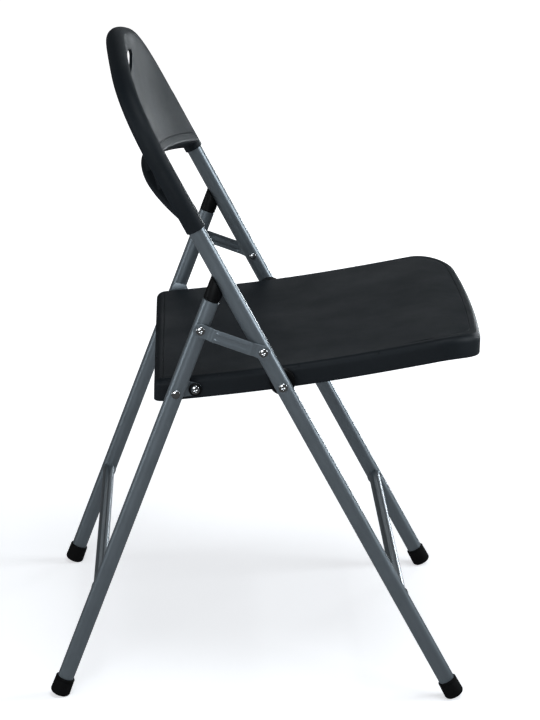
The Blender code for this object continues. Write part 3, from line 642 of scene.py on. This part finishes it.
def makeRivet(side, point, tail, seatPlane, tailDome, cross):
    base = seatPlane + gap
    profile = []
    if tailDome:
        low = domeRings(rivet["head"] * 0.84, 0, rivet["height"] * 0.8, 7)
        profile += [(radius, tail - high) for radius, high in reversed(low)]
        profile.append((rivet["shank"], tail))
    else:
        profile += [(rivet["shank"] * 0.7, tail), (rivet["shank"], tail + 0.0008)]
    profile.append((rivet["shank"], base))
    profile += domeRings(rivet["head"], base, rivet["height"])
    piece = turnPiece(profile, 40)
    if cross:
        for turn in (0, math.pi / 2):
            deselect()
            top = (0, 0, base + rivet["height"])
            bpy.ops.mesh.primitive_cube_add(size=1, location=top, scale=rivet["blade"])
            blade = bpy.context.active_object
            blade.rotation_euler = (0, 0, turn + rivet["bladeTurn"])
            join(piece, blade)
    layAcross(piece, point, side)
    return piece


for label, side in sides.items():
    outer = half + tubeRadius
    inner = half - tubeRadius - gap
    linkFace = outer + gap + link["thickness"]
    tail = seatHalfWidth - rivet["screwLength"]
    hingeFace = bracketAtHinge + bracket["thickness"] + gap + washer["thickness"]
    rearBody = f"link_{label}"
    # piece, body, node, place, inner end, face under the head, domed tail, cross recess
    rows = (
        ("linkFrontRivet", "front_frame", "link_front_rivet", linkFront, inner, linkFace, 1, 1),
        ("linkRearRivet", rearBody, "link_rear_rivet", linkRear, outer + 2 * gap, linkFace, 0, 1),
        ("bracketRivet", "rear_frame", "bracket_rivet", bracketRivet, bracketAtLeg - gap, outer, 1, 0),
        ("seatPivotScrew", "seat_body", "seat_pivot_screw", seatPivot, tail, outer, 0, 1),
        ("seatHingeScrew", "seat_body", "seat_hinge_screw", rearHinge, tail, hingeFace, 0, 1),
    )
    for name, body, node, point, end, face, dome, cross in rows:
        piece = makeRivet(side, point, end, face, dome, cross)
        finish(piece, f"{name}.{label}", body, "zincFastener", [f"{node}_{label}"], 30)


def makeDisc(side, point, radius, low, high):
    edge = min(0.0006, (high - low) / 4)
    soft = edge * 0.3
    hole = rivet["shank"] + gap
    profile = [(hole, low), (radius - edge, low), (radius - soft, low + soft), (radius, low + edge)]
    profile += [(radius, high - edge), (radius - soft, high - soft), (radius - edge, high)]
    profile.append((hole, high))
    piece = turnPiece(profile, 56)
    layAcross(piece, point, side)
    return piece


for label, side in sides.items():
    low = seatHalfWidth + gap
    disc = makeDisc(side, seatPivot, spacer["radius"], low, half - tubeRadius - gap)
    node = f"seat_pivot_spacer_{label}"
    finish(disc, f"pivotSpacer.{label}", "seat_body", "trimPlastic", [node])
    low = bracketAtHinge + bracket["thickness"] + gap
    disc = makeDisc(side, rearHinge, washer["radius"], low, low + washer["thickness"])
    node = f"hinge_washer_{label}"
    finish(disc, f"hingeWasher.{label}", "rear_frame", "trimPlastic", [node])
    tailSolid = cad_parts[f"link_rear_rivet_tail_{label}"]
    tailSolid.data.materials.clear()
    tailSolid.data.materials.append(finishes["zincFastener"])
print("fasteners made")

# ---- seat
seat = {
    "rear": -0.153, "front": 0.248, "rearHeight": -0.0030, "rise": 0.0545, "sag": 0.005,
    "crest": 0.0600, "rollDrop": 0.0050, "dish": 0.0035, "skirt": 0.0270, "skin": 0.0030,
    "frontRadius": 0.056, "rearRadius": 0.012, "bow": 0.010, "edge": 0.008,
    "cornerSteps": 16, "sideSteps": 30, "endSteps": 30,
    "frontLine": 0.0135, "rearLine": 0.0105, "lineDepth": 0.0006, "lineWidth": 0.0007,
    "crossRibs": (-0.075, 0.020, 0.115), "longRibs": (-0.100, 0.0, 0.100),
    "ribThickness": 0.0026, "ribHeight": 0.0130, "bossLength": 0.018,
    "pivotBoss": 0.0105, "hingeBoss": 0.0085, "lineInner": 0.018,
}


def seatTop(x, y):
    crest = seat["front"] - seat["crest"]
    share = (x - seat["rear"]) / (crest - seat["rear"])
    inner = min(max(share, 0), 1)
    height = seat["rearHeight"] + seat["rise"] * share - seat["sag"] * math.sin(math.pi * inner)
    if share > 1:
        past = (x - crest) / seat["crest"]
        slope = seat["rise"] / (crest - seat["rear"]) * seat["crest"]
        height = seat["rearHeight"] + seat["rise"] + slope * past - (slope + seat["rollDrop"]) * past**2
    across = min(abs(y) / seatHalfWidth, 1)
    dish = seat["dish"] * (1 - across**2) * math.sin(math.pi * inner) ** 0.5 if 0 < inner < 1 else 0
    return height - dish


def seatOutline(inset):
    wide = seatHalfWidth - inset
    rear = seat["rear"] + inset
    front = seat["front"] - seat["bow"] - inset
    corners = (
        (front, wide, max(seat["frontRadius"] - inset, 0.004), 0, seat["sideSteps"]),
        (rear, wide, max(seat["rearRadius"] - inset, 0.002), 90, seat["endSteps"]),
        (rear, -wide, max(seat["rearRadius"] - inset, 0.002), 180, seat["sideSteps"]),
        (front, -wide, max(seat["frontRadius"] - inset, 0.004), 270, seat["endSteps"]),
    )
    arcs = []
    for x, y, radius, start, _ in corners:
        centre = (x - math.copysign(radius, x), y - math.copysign(radius, y))
        arc = []
        for step in range(seat["cornerSteps"] + 1):
            angle = math.radians(start + 90 * step / seat["cornerSteps"])
            arc.append((centre[0] + radius * math.cos(angle), centre[1] + radius * math.sin(angle)))
        arcs.append(arc)
    points = []
    for number, arc in enumerate(arcs):
        points += arc
        following = arcs[(number + 1) % len(arcs)][0]
        steps = corners[number][4]
        for step in range(1, steps):
            share = step / steps
            x = arc[-1][0] + (following[0] - arc[-1][0]) * share
            y = arc[-1][1] + (following[1] - arc[-1][1]) * share
            points.append((x, y))
    bowed = []
    for x, y in points:
        weight = max(0, min(1, (x - seat["front"] + 0.12) / 0.11))
        weight = weight * weight * (3 - 2 * weight)
        bowed.append((x + seat["bow"] * weight * (1 - (y / seatHalfWidth) ** 2), y))
    return bowed


def smooth(value, low, high):
    share = min(1, max(0, (value - low) / (high - low)))
    return share * share * (3 - 2 * share)


def seatRing(inset, drop, scale=1.0, line=None):
    middle = (seat["rear"] + seat["front"]) / 2
    ring = []
    for x, y in seatOutline(inset):
        x = middle + (x - middle) * scale
        y = y * scale
        engraved = 0
        if line == "front":
            engraved = seat["lineDepth"] * smooth(x, 0.145, 0.185)
        if line == "rear":
            engraved = seat["lineDepth"] * (1 - smooth(x, -0.140, -0.128))
        ring.append((seatPivot.x + x, y, seatPivot.y + seatTop(x, y) - drop - engraved))
    return ring


def makeSeatShell():
    edge = seat["edge"]
    skirt = seat["skirt"]
    wall = seat["skin"]
    outer = [seatRing(0.0012, skirt), seatRing(0.0004, skirt - 0.0005), seatRing(0, skirt - 0.0014)]
    outer += [seatRing(0, skirt - (skirt - edge) * share) for share in (0.25, 0.5, 0.75, 1)]
    for step in range(1, 11):
        angle = math.pi / 2 * step / 10
        outer.append(seatRing(edge * (1 - math.cos(angle)), edge * (1 - math.sin(angle))))
    width = seat["lineWidth"]
    for spot, line in ((seat["rearLine"], "rear"), (seat["frontLine"], "front")):
        outer += [seatRing(spot - width, 0), seatRing(spot - width * 0.4, 0, line=line)]
        outer += [seatRing(spot + width * 0.4, 0, line=line), seatRing(spot + width, 0)]
    last = seat["lineInner"]
    outer.append(seatRing(last, 0))
    scales = [1 - 0.04 * step for step in range(1, 24)]
    outer += [seatRing(last, 0, scale) for scale in scales]
    inner = [seatRing(last, wall, scale) for scale in reversed(scales[::2])]
    inner += [seatRing(last, wall), seatRing(edge + 0.001, wall), seatRing(wall + 0.001, edge - 0.002)]
    inner += [seatRing(wall, edge + 0.002), seatRing(wall, skirt - 0.001), seatRing(wall - 0.0006, skirt)]
    mesh = bmesh.new()
    top = [[mesh.verts.new(point) for point in ring] for ring in outer]
    under = [[mesh.verts.new(point) for point in ring] for ring in inner]
    middle = (seat["rear"] + seat["front"]) / 2
    height = seatPivot.y + seatTop(middle, 0)
    poleTop = mesh.verts.new((seatPivot.x + middle, 0, height))
    poleUnder = mesh.verts.new((seatPivot.x + middle, 0, height - wall))
    count = len(top[0])
    for rings in (top, under):
        for lower, upper in zip(rings, rings[1:]):
            for i in range(count):
                j = (i + 1) % count
                mesh.faces.new((lower[i], lower[j], upper[j], upper[i]))
    for i in range(count):
        j = (i + 1) % count
        mesh.faces.new((top[-1][i], top[-1][j], poleTop))
        mesh.faces.new((under[0][j], under[0][i], poleUnder))
        mesh.faces.new((top[0][j], top[0][i], under[-1][i], under[-1][j]))
    return asObject(mesh)


def seatRib(points):
    first = Vector(points[0])
    along = (Vector(points[-1]) - first).normalized()
    across = Vector((-along.y, along.x)) * seat["ribThickness"] / 2
    rings = []
    for x, y in points:
        top = seatTop(x, y) - seat["skin"] / 2
        low = top - seat["ribHeight"]
        ring = []
        for sign, level in ((-1, top), (1, top), (1, low), (-1, low)):
            spot = (seatPivot.x + x + sign * across.x, y + sign * across.y, seatPivot.y + level)
            ring.append(spot)
        rings.append(ring)
    return skin(rings)


def crossRod(point, radius, low, high, side, count=48):
    deselect()
    depth = high - low
    bpy.ops.mesh.primitive_cylinder_add(
        vertices=count, radius=radius, depth=depth,
        location=(point.x, side * (low + high) / 2, point.y), rotation=(math.pi / 2, 0, 0),
    )
    return bpy.context.active_object


def makeSeat():
    piece = makeSeatShell()
    steps = 16
    reach = seatHalfWidth - seat["skin"] / 2
    rear = seat["rear"] + seat["skin"] / 2
    front = seat["front"] - seat["skin"] - seat["bow"]
    lines = []
    for x in seat["crossRibs"]:
        lines.append([(x, -reach + 2 * reach * i / steps) for i in range(steps + 1)])
    for y in seat["longRibs"]:
        lines.append([(rear + (front - rear) * i / steps, y) for i in range(steps + 1)])
    for line in lines:
        join(piece, seatRib(line), "UNION", "MANIFOLD")
    for side in sides.values():
        for point, radius in ((seatPivot, seat["pivotBoss"]), (rearHinge, seat["hingeBoss"])):
            low = seatHalfWidth - seat["bossLength"]
            join(piece, crossRod(point, radius, low, seatHalfWidth - 0.0012, side), "UNION", "MANIFOLD")
            low = seatHalfWidth - rivet["screwLength"] - gap
            hole = crossRod(point, rivet["shank"] + gap, low, seatHalfWidth + 0.01, side, 32)
            join(piece, hole, "DIFFERENCE", "MANIFOLD")
    return piece


finish(makeSeat(), "seatShell", "seat_body", "mouldedPlastic", ["seat"], 38)
print("seat made")

# ---- backrest, in the front leg's directions: x ahead, y across, z along the leg
back = {
    "sleeveWall": 0.0018, "sleeveBottom": 0.676, "sleeveTop": 0.768, "tubeTop": 0.774,
    "low": 0.684, "rise": 0.040, "bend": 0.768, "shoulder": 0.842, "crown": (0.034, 0.885),
    "dish": 0.035, "skin": 0.0040, "lipDepth": 0.0225, "lipHeight": 0.0150, "tip": 0.0024,
    "ribs": (-0.140, -0.070, 0.0, 0.070, 0.140), "ribTop": 0.828, "ribThickness": 0.0028,
    "slotAt": 0.853, "slotHalf": 0.066, "slotHeight": 0.0110,
    "archSteps": 18, "sideSteps": 10, "lowSteps": 60, "lowRound": 0.004, "lineDepth": 0.0007,
}
rim = tubeRadius + back["sleeveWall"]


def makeArch():
    controls = [Vector((half, back["shoulder"])), Vector(back["crown"])]
    controls += [Vector((-spot.x, spot.y)) for spot in reversed(controls)]
    ends = [Vector((half, back["bend"]))]
    ends += [(one + two) / 2 for one, two in zip(controls, controls[1:])]
    ends.append(Vector((-half, back["bend"])))
    points = []
    for number, control in enumerate(controls):
        for step in range(back["archSteps"] + (number == len(controls) - 1)):
            share = step / back["archSteps"]
            one = ends[number].lerp(control, share)
            two = control.lerp(ends[number + 1], share)
            spot = one.lerp(two, share)
            along = (two - one).normalized()
            points.append((spot.x, spot.y, along.y, -along.x))
    return points


arch = makeArch()
archRight = [(spot[1], spot[0]) for spot in arch if spot[0] >= -1e-6]


def backHalfWidth(t):
    if t <= archRight[0][0]:
        return archRight[0][1]
    for (low, wide), (high, narrow) in zip(archRight, archRight[1:]):
        if t <= high:
            return wide + (narrow - wide) * (t - low) / (high - low)
    return archRight[-1][1]


def backFront(y, t):
    inner = max(backHalfWidth(t) - rim, 0.02)
    reach = min(1, (y / inner) ** 2)
    tip = max(0, t - back["bend"]) / (back["crown"][1] - back["bend"])
    middle = back["low"] + back["rise"]
    share = min(1, max(0, (t - middle) / (back["crown"][1] - middle)))
    dish = back["dish"] * (1 - share**1.3)
    return rim + back["tip"] * tip**2 - dish * (1 - reach)


def backLowerEdge(y):
    return back["low"] + back["rise"] * max(0, 1 - (y / (half - rim)) ** 2)


def backRing(bead, lip, low, scale=1.0):
    wide = half + rim - bead[0]
    base = back["low"] + low[0]
    straight = arch[0][1]
    steps = back["sideSteps"]
    points = []
    for i in range(steps):
        points.append((wide, base + (straight - base) * i / steps, bead[1]))
    for y, t, normalY, normalT in arch:
        fade = min(1, max(0, (t - straight) / 0.050))
        inset = bead[0] + (lip[0] - bead[0]) * fade
        depth = bead[1] + (lip[1] - bead[1]) * fade
        out = rim - inset
        points.append((y + normalY * out, t + normalT * out, depth))
    for i in range(steps):
        points.append((-wide, straight + (base - straight) * (i + 1) / steps, bead[1]))
    for i in range(1, back["lowSteps"]):
        y = wide * (2 * i / back["lowSteps"] - 1)
        points.append((y, backLowerEdge(y) + low[0], low[1]))
    middle = (back["low"] + back["rise"] + back["crown"][1]) / 2
    ring = []
    for y, t, depth in points:
        y = y * scale
        t = middle + (t - middle) * scale
        ring.append((backFront(y, t) - depth, y, t))
    return ring


def finer(rows, steps):
    # smooth in-between rows, by a spline through the given ones
    rows = [tuple(row) for row in rows]
    full = []
    for i in range(len(rows) - 1):
        before = rows[max(i - 1, 0)]
        after = rows[min(i + 2, len(rows) - 1)]
        for step in range(steps):
            s = step / steps
            spot = []
            for a, b, c, d in zip(before, rows[i], rows[i + 1], after):
                value = 2 * b + (c - a) * s + (2 * a - 5 * b + 4 * c - d) * s * s
                spot.append(0.5 * (value + (3 * b - a - 3 * c + d) * s**3))
            full.append(tuple(spot))
    full.append(rows[-1])
    return full


def makeBackPanel():
    wall = back["skin"]
    deep = back["lipDepth"]
    high = back["lipHeight"]
    lowRound = back["lowRound"]
    line = back["lineDepth"]
    front = []
    for degrees in (2, 11, 20, 30, 40, 50, 60, 70, 80, 90):
        inset = 1 - math.cos(math.radians(degrees))
        depth = 1 - math.sin(math.radians(degrees))
        edge = (rim * inset, rim * depth)
        front.append(backRing(edge, edge, (lowRound * inset, lowRound * depth)))
    # the engraved line over the lower edge, as (share of the rim, height, depth)
    groove = ((1.03, 0.0121, 0), (1.06, 0.0127, line), (1.09, 0.0133, line), (1.12, 0.0139, 0))
    for share, low, depth in groove:
        front.append(backRing((rim * share, 0), (rim * share, 0), (low, depth)))
    shared = ((0, 1.05), (0.13, 1.50), (0.50, 1.87))  # inset and depth, in rim radii
    beads = (*shared, (1.0, 2.0), (1.5, 1.87), (1.85, 1.35), (2.08, wall / rim))
    lips = (*shared, (0.85, 1.98), (1.05, 1.80), (1.15, 1.20), (1.35, wall / rim))
    lows = ((0, deep - 0.003), (0.003, deep), (high - 0.005, deep), (high - 0.001, deep - 0.002))
    lows += ((high, deep - 0.006), (high + 0.0005, 0.010), (high + 0.0025, wall))
    rear = []
    for bead, lip, low in zip(finer(beads, 3), finer(lips, 3), finer(lows, 3)):
        pairs = [(inset * rim, depth * rim) for inset, depth in (bead, lip)]
        rear.append(backRing(pairs[0], pairs[1], low))
    scales = [1 - 0.07 * step for step in range(1, 14)]
    edge = (rim * 1.12, 0)
    front += [backRing(edge, edge, (0.0139, 0), scale) for scale in scales]
    last = [(inset * rim, wall) for inset in (beads[-1][0], lips[-1][0])]
    rear += [backRing(last[0], last[1], lows[-1], scale) for scale in scales]
    mesh = bmesh.new()
    skins = [[[mesh.verts.new(p) for p in ring] for ring in rings] for rings in (front, rear)]
    count = len(front[0])
    middle = (back["low"] + back["rise"] + back["crown"][1]) / 2
    for rings, depth in zip(skins, (0, wall)):
        pole = mesh.verts.new((backFront(0, middle) - depth, 0, middle))
        for lower, upper in zip(rings, rings[1:]):
            for i in range(count):
                j = (i + 1) % count
                mesh.faces.new((lower[i], lower[j], upper[j], upper[i]))
        for i in range(count):
            mesh.faces.new((rings[-1][i], rings[-1][(i + 1) % count], pole))
    for i in range(count):
        j = (i + 1) % count
        mesh.faces.new((skins[0][0][i], skins[0][0][j], skins[1][0][j], skins[1][0][i]))
    return asObject(mesh)


def backRib(y):
    thin = back["ribThickness"] / 2
    low = backLowerEdge(y) + back["lipHeight"] / 2
    steps = 14
    rings = []
    for i in range(steps + 1):
        share = i / steps
        t = low + (back["ribTop"] - low) * share
        front = backFront(y, t)
        deep = back["lipDepth"] - 0.003 - (back["lipDepth"] - back["skin"] - 0.003) * share**0.8
        far = front - max(deep, back["skin"] * 0.8)
        near = front - back["skin"] / 2
        rings.append([(near, y - thin, t), (near, y + thin, t), (far, y + thin, t), (far, y - thin, t)])
    return skin(rings)


def slotTool():
    steps = 24
    rings = []
    for x in (-0.04, 0.04):
        ring = []
        for i in range(2 * steps):
            angle = math.pi * (i + 0.5) / steps
            y = back["slotHalf"] * math.cos(angle) / math.cos(math.pi / 2 / steps)
            bow = max(0, 1 - (y / back["slotHalf"]) ** 2)
            z = math.copysign(back["slotHeight"] * (0.25 + 0.75 * bow), math.sin(angle))
            ring.append((x, y, back["slotAt"] + z))
        rings.append(ring)
    return skin(rings)


def makeBackrest():
    piece = makeBackPanel()
    for y in back["ribs"]:
        join(piece, backRib(y), "UNION", "MANIFOLD")
    radius = rim + 0.0002
    low = back["sleeveBottom"]
    top = back["sleeveTop"]
    sleeve = [(radius - 0.0010, low), (radius - 0.0003, low + 0.0003), (radius, low + 0.0010)]
    sleeve += [(radius, top - 0.012), (radius - 0.002, top)]
    for side in sides.values():
        outer = turnPiece(sleeve, 72)
        outer.location = (0, side * half, 0)
        join(piece, outer, "UNION", "MANIFOLD")
    for side in sides.values():
        bore = turnPiece([(tubeRadius + gap, low - 0.02), (tubeRadius + gap, back["tubeTop"] + gap)], 72)
        bore.location = (0, side * half, 0)
        join(piece, bore, "DIFFERENCE", "MANIFOLD")
    join(piece, slotTool(), "DIFFERENCE", "MANIFOLD")
    piece.rotation_euler = (0, -frontLean, 0)
    piece.location = (chair["frontFloorX"], 0, 0)
    return piece


finish(makeBackrest(), "backrestPanel", "front_frame", "mouldedPlastic", ["backrest"], 38)
print("backrest made")

# ---- floor, light and camera
studio = {
    "floorColour": (0.93, 0.93, 0.94), "floorSize": 60.0, "floorZ": -0.0005,
    "glow": 0.56, "glowStart": 0.45, "glowEnd": 1.9,
    "sky": 0.06, "lightColour": (0.90, 0.96, 1.0),
}


def makeFloor():
    deselect()
    bpy.ops.mesh.primitive_plane_add(size=studio["floorSize"], location=(0, 0, studio["floorZ"]))
    floor = bpy.context.active_object
    floor.name = "studioFloor"
    settings = {
        "Base Color": (*studio["floorColour"], 1), "Roughness": 0.85,
        "Emission Strength": 1.0,
    }
    material, shader, sockets = newMaterial("studioFloor", settings)
    away = shader.add("ShaderNodeVectorMath", {"operation": "LENGTH"}, {0: shader.place()}, "Value")
    near = (studio["glow"], studio["glow"], studio["glow"] * 1.02)
    spread = shader.span(away, studio["glowStart"], studio["glowEnd"])
    shader.feed(sockets["Emission Color"], shader.mix(spread, near, (1.0, 1.0, 1.0)))
    floor.data.materials.append(material)
    floor.visible_glossy = False  # keeps the bright floor out of the reflections
    deselect()


def makeLight(name, place, target, size, power):
    data = bpy.data.lights.new(name, "AREA")
    data.shape = "DISK"
    data.size = size
    data.energy = power
    data.color = studio["lightColour"]
    lamp = bpy.data.objects.new(name, data)
    lamp.location = place
    lamp.rotation_euler = (Vector(target) - Vector(place)).to_track_quat("-Z", "Y").to_euler()
    bpy.context.scene.collection.objects.link(lamp)


makeFloor()
lights = {
    "frontLight": ((2.8, 0.3, 1.5), (0, 0, 0.5), 1.3, 36),
    "sideLight": ((-0.9, -2.9, 1.3), (0, 0, 0.4), 1.4, 24),
    "topLight": ((0.5, -0.8, 3.2), (0, 0, 0.3), 1.6, 34),
    "lowLight": ((1.6, 2.6, 0.34), (-0.1, 0, 0.7), 0.7, 21),
    "rearLight": ((-3.0, -0.4, 0.9), (0, 0, 0.4), 1.1, 10),
    "backLight": ((0.2, 3.2, 1.35), (0, 0, 0.3), 1.6, 3.4),
}
for name, (place, target, size, power) in lights.items():
    makeLight(name, place, target, size, power)
world = bpy.data.worlds.new("studioSky")
world.use_nodes = True
backdrop = world.node_tree.nodes["Background"].inputs
backdrop["Color"].default_value = (1.0, 1.0, 1.0, 1)
sky = Shader(world.node_tree)
seen = sky.add("ShaderNodeLightPath", output="Is Camera Ray")
sky.feed(backdrop["Strength"], seen + studio["sky"])  # a white backdrop that hardly lights the chair
bpy.context.scene.world = world
bpy.context.scene.view_settings.view_transform = "Standard"

view = {
    "lens": 127.585, "sensor": 36.0, "pitch": math.radians(16.856), "yaw": math.radians(2.346),
    "roll": math.radians(1.373), "target": Vector((0.0071, 0.0, 0.3641)), "distance": 3.258,
}


def makeCamera():
    pitch, yaw, roll = view["pitch"], view["yaw"], view["roll"]
    level = Vector((math.sin(yaw), math.cos(yaw), 0))
    forward = level * math.cos(pitch) + Vector((0, 0, -math.sin(pitch)))
    right = Vector((math.cos(yaw), -math.sin(yaw), 0))
    up = right.cross(forward)
    across = right * math.cos(roll) + up * math.sin(roll)
    high = -right * math.sin(roll) + up * math.cos(roll)
    data = bpy.data.cameras.new("camera")
    data.lens = view["lens"]
    data.sensor_width = view["sensor"]
    data.clip_start = 0.05
    data.clip_end = 60
    camera = bpy.data.objects.new("camera", data)
    spot = view["target"] - forward * view["distance"]
    turn = Matrix((across, high, -forward)).transposed().to_4x4()
    camera.matrix_world = Matrix.Translation(spot) @ turn
    bpy.context.scene.collection.objects.link(camera)
    bpy.context.scene.camera = camera


makeCamera()
print("studio ready")
